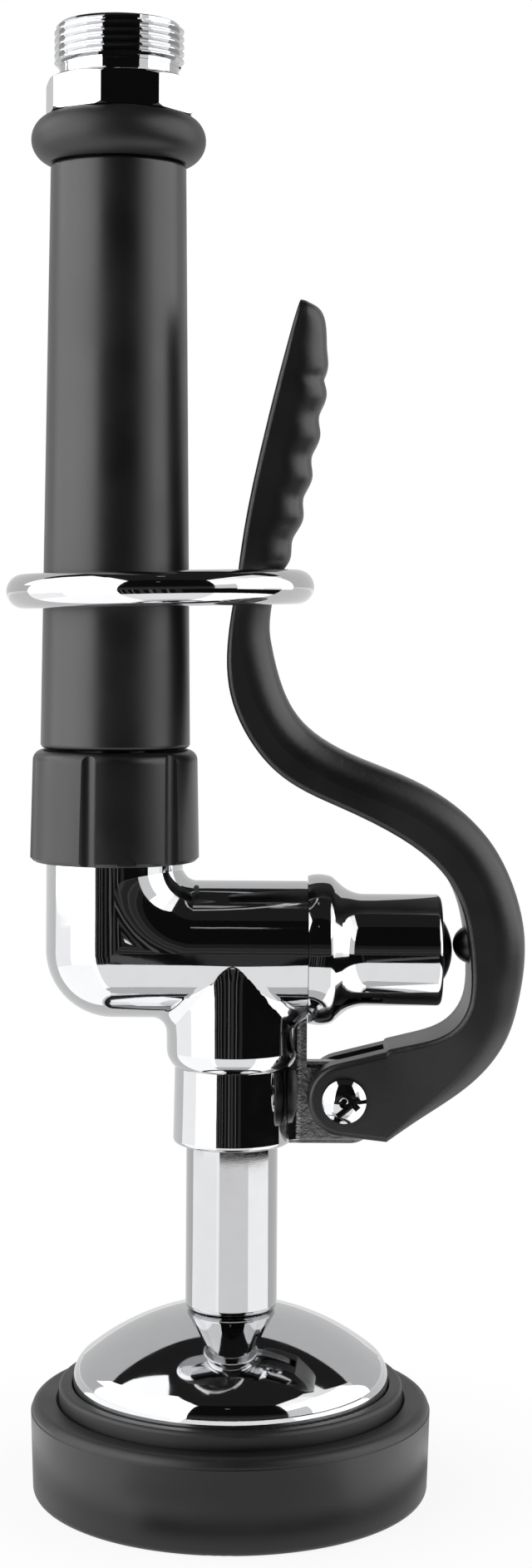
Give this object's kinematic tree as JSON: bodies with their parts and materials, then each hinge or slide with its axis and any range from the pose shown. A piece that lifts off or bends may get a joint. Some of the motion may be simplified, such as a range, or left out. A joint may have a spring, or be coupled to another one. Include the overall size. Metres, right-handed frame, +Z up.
{
  "type": "pre-rinse spray valve",
  "caption": "Hand-held pre-rinse spray valve: long black grip, bent squeeze lever with a hold-open ring, chromed valve barrel and a bell spray head in a rubber bumper.",
  "frame": {"origin": "centre of the bumper's mouth, in the plane the bumper stands on, on the nozzle's axis", "axes": "+Z up along the nozzle and parallel to the grip, towards the hose thread; +X from the grip towards the lever, along the valve barrel; +Y away from the side with the pivot screw's head"},
  "size_m": [0.1039, 0.0796, 0.2927],
  "materials": {
    "chrome_body": "polished",
    "ring_steel": "polished",
    "grip_black": "satin",
    "nut_black": "satin",
    "lever_black": "satin",
    "pad_black": "glossy",
    "bumper_rubber": "matt",
    "collar_rubber": "matt",
    "seal_rubber": "matt",
    "steel": "brushed",
    "screw_steel": "polished",
    "brass_inside": "machined",
    "bush_plastic": "matt"
  },
  "bodies": {
    "base": {"bumper": "bumper_rubber", "spray_bell": "chrome_body", "face_seal": "seal_rubber", "spray_face": "steel", "face_screws": "steel", "nozzle_tube": "chrome_body", "nozzle_seal": "seal_rubber", "valve_body": "chrome_body", "seat_bush": "brass_inside", "gland_nut": "brass_inside", "stem_seal": "seal_rubber", "bonnet_gasket": "seal_rubber", "bonnet": "chrome_body", "return_spring": "steel", "pivot_bush": "bush_plastic", "pivot_washers": "bush_plastic", "coupling_nut": "nut_black", "coupling_washer": "seal_rubber", "riser_tube": "steel", "grip_sleeve": "grip_black", "collar_ring": "collar_rubber", "hose_adapter": "chrome_body"},
    "lever": {"lever": "lever_black", "lever_pad": "pad_black", "pivot_screw": "screw_steel", "pivot_nut": "steel"},
    "plunger": {"valve_stem": "steel", "seat_disc": "seal_rubber", "disc_cup": "brass_inside", "stem_nut": "brass_inside", "plunger_cap": "pad_black"},
    "ring": {"hold_ring": "ring_steel"}
  },
  "joints": [
    {"name": "lever_pivot", "type": "hinge", "parent": "base", "child": "lever", "pos_m": [0.0222, 0, 0.0789], "axis": [0, -1, 0], "range_deg": [0, 4.2], "stiffness_Nm_per_rad": 4, "springref_deg": -5.73},
    {"name": "plunger_slide", "type": "slide", "parent": "base", "child": "plunger", "axis": [-1, 0, 0], "range_m": [0, 0.002], "deforming": ["return_spring"]},
    {"name": "hold_ring_slide", "type": "slide", "parent": "base", "child": "ring", "axis": [0, 0, 1], "range_m": [-0.0145, 0]}
  ],
  "couplings": [
    {"joint": "plunger_slide", "follows": "lever_pivot", "m_per_rad": 0.0272}
  ]
}
